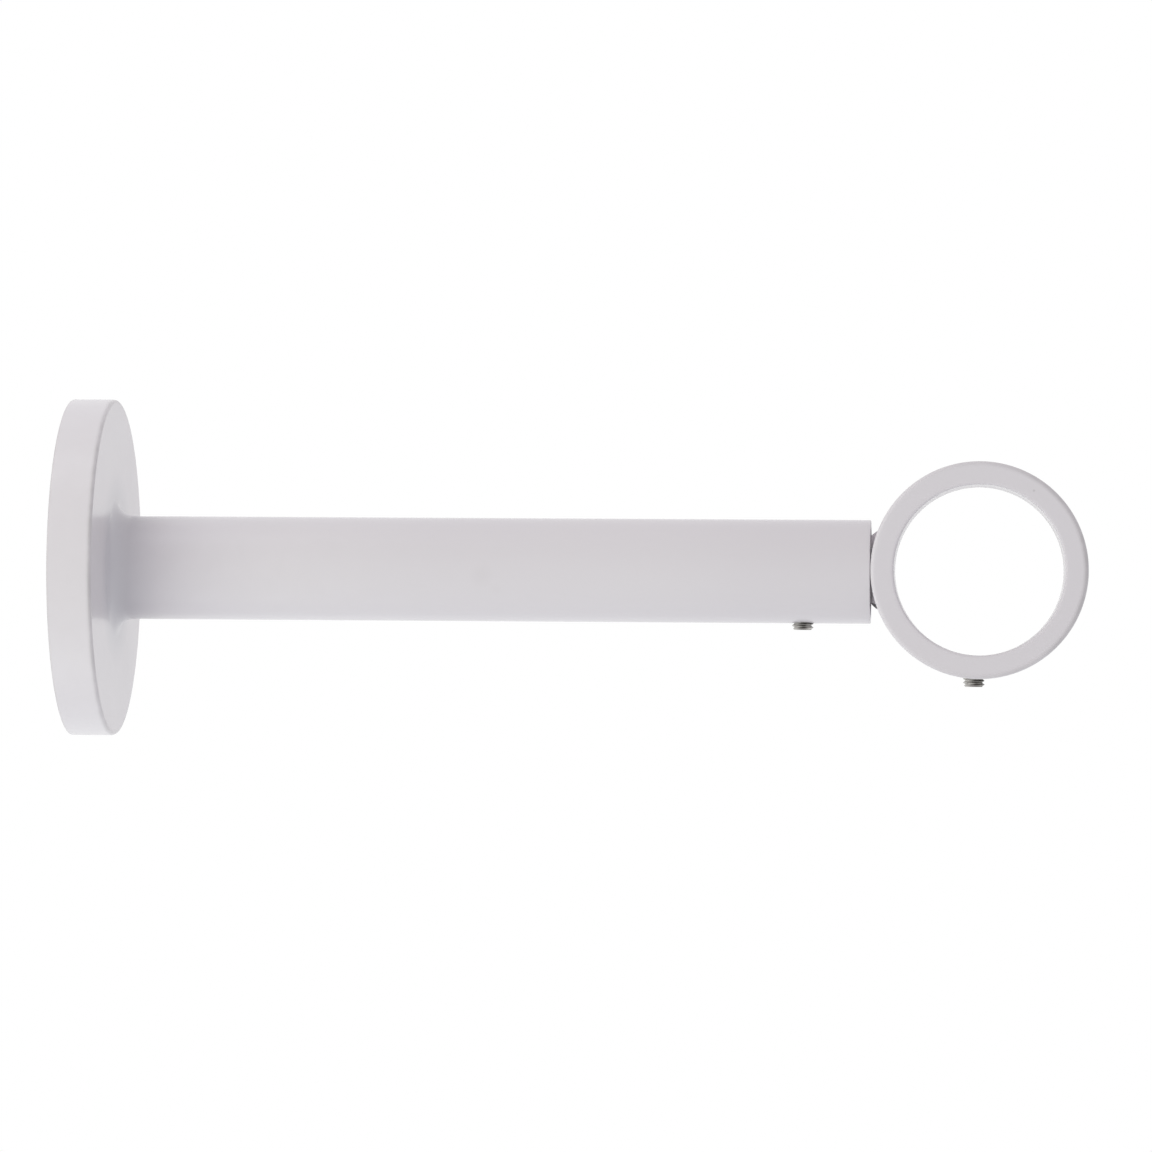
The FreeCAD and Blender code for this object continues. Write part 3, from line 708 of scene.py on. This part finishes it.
class BRACKET_OT_wall_fixing(bpy.types.Operator):
    """Make the wall plate with its countersunk holes, and the clinch stud that the arm screws onto"""

    bl_idname = "bracket.wall_fixing"
    bl_label = "Wall plate and stud"

    def execute(self, context):
        shapes = context.scene.bracket_shapes
        thick = PLATE_HIGH.x
        bore = STUD_HIGH.z
        head_deep = 1.0 * MM
        shank = 4.0 * MM
        seat = bore + 0.02 * MM
        disc = turned((
            (0.0, PLATE_HIGH.z, shapes.small_round),
            (thick, PLATE_HIGH.z, 0.5 * MM),
            (thick, shank + 0.05 * MM, shapes.small_round / 2),
            (head_deep, shank + 0.05 * MM, 0.0),
            (head_deep, seat, 0.0),
            (0.0, seat, shapes.small_round / 2),
        ), shapes.turn_steps)
        sink_depth = shapes.sink_radius - WALL_HOLE
        for number in range(WALL_HOLE_COUNT):
            turn = Matrix.Rotation(FULL_TURN * number / WALL_HOLE_COUNT, 4, "X")
            place = turn @ Matrix.Translation((0, 0, WALL_HOLE_CIRCLE)) @ UP_TO_ALONG_X
            disc = carved(disc, moved(drum(WALL_HOLE, -thick, 2 * thick), place))
            cone = drum(WALL_HOLE, thick - sink_depth, thick + 0.5 * MM,
                        top_radius=shapes.sink_radius + 0.5 * MM)
            disc = carved(disc, moved(cone, place))
        zinc = zinc_plate(context.scene.bracket_finish)
        finished(disc, "wall_disc", "wall_side", zinc, ["wall_plate"])

        pitch = shapes.stud_pitch
        thread_start = ROSE_FACE - pitch
        head = turned((
            (0.0, 0.0, 0.0),
            (0.0, bore, shapes.small_round),
            (head_deep, bore, 0.0),
            (head_deep, shank, 0.0),
            (thread_start + pitch / 2, shank, 0.2 * MM),
            (thread_start + pitch / 2, 0.0, 0.0),
        ), 96)
        envelope = turned((
            (0.0, 0.0, 0.0),
            (0.0, shank, 0.0),
            (STUD_HIGH.x - 0.8 * MM, shank, 0.0),
            (STUD_HIGH.x, shank - 0.8 * MM, 0.0),
            (STUD_HIGH.x, 0.0, 0.0),
        ), 96)
        screw = moved(threaded(shank - 0.02 * MM, pitch, thread_start, STUD_HIGH.x), UP_TO_ALONG_X)
        screw = carved(screw, envelope, "INTERSECT")
        finished(head, "clinch_head", "wall_side", zinc, ["wall_stud"])
        finished(screw, "stud_thread", "wall_side", zinc, ["wall_stud"])
        return {"FINISHED"}


def ring_surface(height):
    """Where the ring's outside lies on the arm's side, at a height above the ring's centre."""
    return RING_CENTRE.x - math.sqrt(RING_RADIUS ** 2 - height ** 2)


def weld_bead(run, rise, fullness, way, rod_radius, arc):
    """A rippled fillet weld in the corner of rod and ring, above (way 1) or below (way -1) the rod."""
    bm = bmesh.new()
    section = 0.4 * rod_radius
    bmesh.ops.create_circle(bm, cap_ends=False, segments=20, radius=section)
    bmesh.ops.transform(
        bm, verts=bm.verts[:],
        matrix=Matrix.Translation((0, 0, rod_radius)) @ Matrix.Rotation(math.pi / 2, 4, "X"))
    bmesh.ops.rotate(
        bm, verts=bm.verts[:], cent=(0, 0, 0), matrix=Matrix.Rotation(-arc / 2, 3, "X"))
    bmesh.ops.spin(
        bm, geom=bm.verts[:] + bm.edges[:], cent=(0, 0, 0), axis=(1, 0, 0), dvec=(0, 0, 0),
        angle=arc, steps=64, use_merge=False, use_duplicate=False)
    for vert in bm.verts:
        angle = math.atan2(-vert.co.y, vert.co.z)
        along = vert.co.x / section
        out = (math.hypot(vert.co.y, vert.co.z) - rod_radius) / section
        squareness = (abs(along) ** fullness + abs(out) ** fullness) ** (1 / fullness)
        end = min(1.0, max(0.0, abs(2 * angle / arc)))
        fade = math.sqrt(max(0.0, 1 - end ** 4))
        ripple = 1 + 0.05 * math.sin(angle * 34 + 1.3) + 0.06 * math.sin(angle * 9 + 0.4)
        size = (0.45 + 0.55 * math.cos(angle * 1.5)) * ripple * fade
        radius = rod_radius - 0.05 * MM + rise * size * max(-0.5, out / squareness)
        height = radius * math.cos(angle)
        x = ring_surface(height) + 0.05 * MM * fade + run * size * along / squareness
        vert.co = (max(x, ARM_HIGH.x + 0.12 * MM),
                   -radius * math.sin(angle), HEAD_LIFT + way * height)
    bmesh.ops.remove_doubles(bm, verts=bm.verts[:], dist=TOUCH * 50)
    bmesh.ops.recalc_face_normals(bm, faces=bm.faces[:])
    return bm


class BRACKET_OT_ring_head(bpy.types.Operator):
    """Turn the pole ring and its sliding rod, and lay the weld between them"""

    bl_idname = "bracket.ring_head"
    bl_label = "Ring head"

    def execute(self, context):
        shapes = context.scene.bracket_shapes
        finish = context.scene.bracket_finish
        half = HEAD_HIGH.y
        round_edge = shapes.ring_round
        ring = turned((
            (-half, RING_BORE, shapes.bore_round),
            (-half, RING_RADIUS, round_edge),
            (half, RING_RADIUS, round_edge),
            (half, RING_BORE, shapes.bore_round),
        ), shapes.turn_steps + 32)
        ring = moved(ring, Matrix.Translation(RING_CENTRE) @ ALONG_Y)
        place = (POLE_SCREW_LOW + POLE_SCREW_HIGH) / 2
        hole = SCREW_RADIUS + 0.05 * MM
        drill = moved(drum(hole, -2 * RING_RADIUS, 0.0), Matrix.Translation((place.x, 0, 0)))
        ring = softened(carved(ring, drill), 0.16 * MM, near_upright(place, hole))
        coat = white_coat(finish, "pole_ring")
        finished(ring, "pole_ring", "head", coat, ["ring_head"], exposed=outer_ring)

        rod_radius = shapes.rod_radius
        groove = rod_radius - shapes.groove_depth
        root = RING_CENTRE.x - (RING_RADIUS + RING_BORE) / 2
        rod = turned((
            (HEAD_LOW.x, 0.0, 0.0),
            (HEAD_LOW.x, rod_radius, 0.6 * MM),
            (GLIDE_LOW.x - 0.05 * MM, rod_radius, 0.0),
            (GLIDE_LOW.x - 0.05 * MM, groove, 0.0),
            (GLIDE_HIGH.x + 0.05 * MM, groove, 0.0),
            (GLIDE_HIGH.x + 0.05 * MM, rod_radius, 0.0),
            (root, rod_radius, 0.0),
            (root, 0.0, 0.0),
        ), shapes.turn_steps)
        rod = moved(rod, Matrix.Translation((0, 0, HEAD_LIFT)))
        rod_coat = white_coat(finish, "slide_rod")
        finished(rod, "slide_rod", "head", rod_coat, ["ring_head"])

        seam = ARM_HIGH.x + 1.0 * MM
        # A near-black spot at the lower weld's tip, in the crevice between the arm's end and the ring
        near_black_spots = (((seam + 0.1 * MM, -1.8 * MM, -6.7 * MM), 1.7 * MM),)
        # Painted light: the weld beads' coat is 1.34 times lighter, standing in for light in the shaded
        # slit between arm and ring
        lightened_weld_coat = white_coat(finish, "ring_weld", near_black_spots, 0.016 * MM, 1.34)
        arc = math.radians(100)
        upper = weld_bead(shapes.weld_top, shapes.weld_height, 1.02, 1, rod_radius, arc)
        lower = weld_bead(shapes.weld_bottom, shapes.weld_height * 0.9, 1.2, -1, rod_radius, arc)
        finished(upper, "upper_weld", "head", lightened_weld_coat, ["ring_head"], crease=60)
        finished(lower, "lower_weld", "head", lightened_weld_coat, ["ring_head"], crease=60)
        return {"FINISHED"}


class BRACKET_OT_set_screws(bpy.types.Operator):
    """Cut the two set screws with their threads and hexagon sockets"""

    bl_idname = "bracket.set_screws"
    bl_label = "Set screws"

    def execute(self, context):
        shapes = context.scene.bracket_shapes
        # Painted highlights on the front sides of the set screws, near their outer ends
        painted_highlight_spots = (
            (ARM_SCREW_LOW + Vector((0.1, 1.0, 0.6)) * MM, 2.0 * MM),
            (ARM_SCREW_LOW + Vector((3.8, 0.3, 0.6)) * MM, 1.4 * MM),
            (POLE_SCREW_LOW + Vector((0.1, 0.8, 0.6)) * MM, 2.3 * MM),
        )
        steel = screw_steel(context.scene.bracket_finish, painted_highlight_spots)
        screws = (
            ("arm_grub_screw", "arm_screw", "arm_set_screw", ARM_SCREW_LOW, ARM_SCREW_HIGH),
            ("pole_grub_screw", "pole_screw", "pole_set_screw", POLE_SCREW_LOW, POLE_SCREW_HIGH),
        )
        length = ARM_SCREW_HIGH.z - ARM_SCREW_LOW.z
        chamfer = 0.4 * MM
        corner = shapes.key_size / math.sqrt(3)
        for name, body, node, low, high in screws:
            screw = threaded(SCREW_RADIUS, shapes.thread_pitch, 0.0, length)
            envelope = turned((
                (0.0, 0.0, 0.0),
                (0.0, SCREW_RADIUS - chamfer, 0.0),
                (chamfer, SCREW_RADIUS, 0.0),
                (length - chamfer, SCREW_RADIUS, 0.0),
                (length, SCREW_RADIUS - chamfer, 0.0),
                (length, 0.0, 0.0),
            ), 96)
            upright = Matrix.Rotation(-math.pi / 2, 4, "Y")
            screw = carved(screw, moved(envelope, upright), "INTERSECT")
            screw = carved(screw, drum(corner, -1 * MM, shapes.key_depth, sides=6))
            mouth = drum(corner + 0.25 * MM, -0.1 * MM, 0.2 * MM, top_radius=corner - 0.05 * MM)
            screw = carved(screw, mouth)
            point = drum(0.0, length - 0.5 * MM, length + 0.1 * MM, top_radius=0.95 * MM)
            screw = carved(screw, point)
            middle = (low + high) / 2
            moved(screw, Matrix.Translation((middle.x, middle.y, low.z)))
            finished(screw, name, body, steel, [node])
        return {"FINISHED"}


class BRACKET_OT_inner_pieces(bpy.types.Operator):
    """Finish the plug, the bush and the glide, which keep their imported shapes"""

    bl_idname = "bracket.inner_pieces"
    bl_label = "Plug, bush and glide"

    def execute(self, context):
        finish = context.scene.bracket_finish
        zinc = zinc_plate(finish)
        finishes = {
            "arm_base_plug": zinc,
            "socket_bush": white_coat(finish, "socket_bush"),
            "rod_glide": natural_nylon(finish),
        }
        for node, material in finishes.items():
            for slot in frame["nodes"][node].material_slots:
                slot.link = "OBJECT"
                slot.material = material
        return {"FINISHED"}


class BRACKET_OT_stage(bpy.types.Operator):
    """Set the floor, the soft lamps, the white surroundings and the camera"""

    bl_idname = "bracket.stage"
    bl_label = "Floor, light and camera"

    def execute(self, context):
        stage = context.scene.bracket_stage
        middle = (CAD_BOX[0] + CAD_BOX[1]) / 2
        self.lay_floor(stage, middle)
        self.light_surroundings(context.scene, stage)
        self.hang_lamp("key_lamp", (-0.30, -0.40, 0.0), 0.3, stage.key_power, stage.key_colour)
        self.hang_lamp("upper_lamp", (-0.12, -0.12, 0.30), 0.2, stage.fill_power, stage.fill_colour)
        self.hang_lamp("lower_lamp", (-0.12, -0.12, -0.30), 0.2, stage.fill_power, stage.fill_colour)
        self.stand_camera(context.scene, stage)
        return {"FINISHED"}

    def lay_floor(self, stage, middle):
        """A round pale floor that shows its shading near the object and plain white far off."""
        bm = bmesh.new()
        bmesh.ops.create_circle(
            bm, cap_ends=True, segments=96, radius=stage.floor_radius,
            matrix=Matrix.Translation((middle.x, middle.y, ROSE_LOW.z - stage.floor_drop)))
        mesh = bpy.data.meshes.new("floor")
        bm.to_mesh(mesh)
        bm.free()
        floor = bpy.data.objects.new("floor", mesh)
        bpy.context.scene.collection.objects.link(floor)
        material, tree, shader, place = new_finish("floor")
        shader.inputs["Base Color"].default_value = (*stage.floor_colour, 1.0)
        shader.inputs["Roughness"].default_value = 0.9
        shader.inputs["Specular IOR Level"].default_value = 0.1
        distance = add(tree, "ShaderNodeVectorMath", operation="DISTANCE")
        tree.links.new(place, distance.inputs[0])
        distance.inputs[1].default_value = (middle.x, middle.y, ROSE_LOW.z - stage.floor_drop)
        far = spread(tree, distance.outputs["Value"], 0.25, 0.9 * stage.floor_radius)
        white = add(tree, "ShaderNodeEmission")
        white.inputs["Strength"].default_value = 1.0
        mix = add(tree, "ShaderNodeMixShader")
        tree.links.new(combine(tree, "MULTIPLY", far, self.seen(tree)), mix.inputs["Fac"])
        tree.links.new(shader.outputs["BSDF"], mix.inputs[1])
        tree.links.new(white.outputs["Emission"], mix.inputs[2])
        tree.links.new(mix.outputs["Shader"], tree.nodes["Material Output"].inputs["Surface"])
        mesh.materials.append(material)

    def seen(self, tree):
        """1 for rays that show the surroundings: camera, glossy and transmission rays."""
        rays = add(tree, "ShaderNodeLightPath")
        shown = combine(tree, "MAXIMUM", rays.outputs["Is Camera Ray"], rays.outputs["Is Glossy Ray"])
        return combine(tree, "MAXIMUM", shown, rays.outputs["Is Transmission Ray"])

    def light_surroundings(self, scene, stage):
        """White surroundings to look at, and a soft light from them that is stronger from below."""
        world = bpy.data.worlds.new("studio")
        world.use_nodes = True
        tree = world.node_tree
        light = tree.nodes["Background"]
        light.inputs["Strength"].default_value = stage.sky_strength
        split = add(tree, "ShaderNodeSeparateXYZ")
        tree.links.new(add(tree, "ShaderNodeTexCoord").outputs["Generated"], split.inputs["Vector"])
        low = spread(tree, split.outputs["Z"], -1.0, 0.0, 1.0, 0.0)
        colour = tint(tree, low, stage.sky_colour, stage.sky_low_colour)
        tree.links.new(colour, light.inputs["Color"])
        white = add(tree, "ShaderNodeBackground")
        white.inputs["Color"].default_value = (1.0, 1.0, 1.0, 1.0)
        white.inputs["Strength"].default_value = 1.0
        mix = add(tree, "ShaderNodeMixShader")
        tree.links.new(self.seen(tree), mix.inputs["Fac"])
        tree.links.new(light.outputs["Background"], mix.inputs[1])
        tree.links.new(white.outputs["Background"], mix.inputs[2])
        tree.links.new(mix.outputs["Shader"], tree.nodes["World Output"].inputs["Surface"])
        scene.world = world
        scene.view_settings.view_transform = "Standard"

    def hang_lamp(self, name, place, size, power, colour):
        """A soft square lamp that faces the rose's end of the arm."""
        light = bpy.data.lights.new(name, "AREA")
        light.energy = power
        light.color = colour
        light.size = size
        lamp = bpy.data.objects.new(name, light)
        lamp.location = place
        lamp.rotation_mode = "QUATERNION"
        aim = Vector((0.02, 0.0, 0.0)) - Vector(place)
        lamp.rotation_quaternion = aim.to_track_quat("-Z", "Y")
        lamp.visible_camera = False
        lamp.visible_glossy = False
        bpy.context.scene.collection.objects.link(lamp)

    def stand_camera(self, scene, stage):
        """The camera at the photograph's place, turn and focal length."""
        yaw, pitch, roll = stage.camera_yaw, stage.camera_pitch, stage.camera_roll
        right = Vector((math.cos(yaw), math.sin(yaw), 0.0))
        forward = Vector((-math.sin(yaw) * math.cos(pitch), math.cos(yaw) * math.cos(pitch),
                          math.sin(pitch)))
        up = right.cross(forward)
        level = Matrix((right, up, -forward)).transposed()
        data = bpy.data.cameras.new("camera")
        data.sensor_width = 36.0
        data.lens = stage.focal_pixels / stage.photo_pixels * data.sensor_width
        data.clip_start = 0.05
        data.clip_end = 50.0
        camera = bpy.data.objects.new("camera", data)
        turn = level.to_4x4() @ Matrix.Rotation(roll, 4, "Z")
        camera.matrix_world = Matrix.Translation(stage.camera_place) @ turn
        scene.collection.objects.link(camera)
        scene.camera = camera


OPERATORS = (
    BRACKET_OT_rose_and_arm,
    BRACKET_OT_wall_fixing,
    BRACKET_OT_ring_head,
    BRACKET_OT_set_screws,
    BRACKET_OT_inner_pieces,
    BRACKET_OT_stage,
)


class BRACKET_PT_sidebar(bpy.types.Panel):
    """Lists the bracket's pieces, finishes and stage"""

    bl_idname = "BRACKET_PT_sidebar"
    bl_label = "Curtain Pole Bracket"
    bl_space_type = "VIEW_3D"
    bl_region_type = "UI"
    bl_category = "Bracket"

    def draw(self, context):
        layout = self.layout
        for operator in OPERATORS:
            layout.operator(operator.bl_idname)
        for group in ("bracket_shapes", "bracket_finish", "bracket_stage"):
            box = layout.box()
            settings = getattr(context.scene, group)
            for name in settings.bl_rna.properties.keys():
                if name not in ("rna_type", "name"):
                    box.prop(settings, name)


CLASSES = (BracketShapes, BracketFinish, BracketStage, *OPERATORS, BRACKET_PT_sidebar)


def register():
    for item in CLASSES:
        bpy.utils.register_class(item)
    bpy.types.Scene.bracket_shapes = PointerProperty(type=BracketShapes)
    bpy.types.Scene.bracket_finish = PointerProperty(type=BracketFinish)
    bpy.types.Scene.bracket_stage = PointerProperty(type=BracketStage)


def unregister():
    del bpy.types.Scene.bracket_stage
    del bpy.types.Scene.bracket_finish
    del bpy.types.Scene.bracket_shapes
    for item in reversed(CLASSES):
        bpy.utils.unregister_class(item)


def main():
    """Builds and finishes the whole bracket and its stage."""
    register()
    bpy.ops.bracket.rose_and_arm()
    bpy.ops.bracket.wall_fixing()
    bpy.ops.bracket.ring_head()
    bpy.ops.bracket.set_screws()
    bpy.ops.bracket.inner_pieces()
    bpy.ops.bracket.stage()


if __name__ == "__main__":
    main()
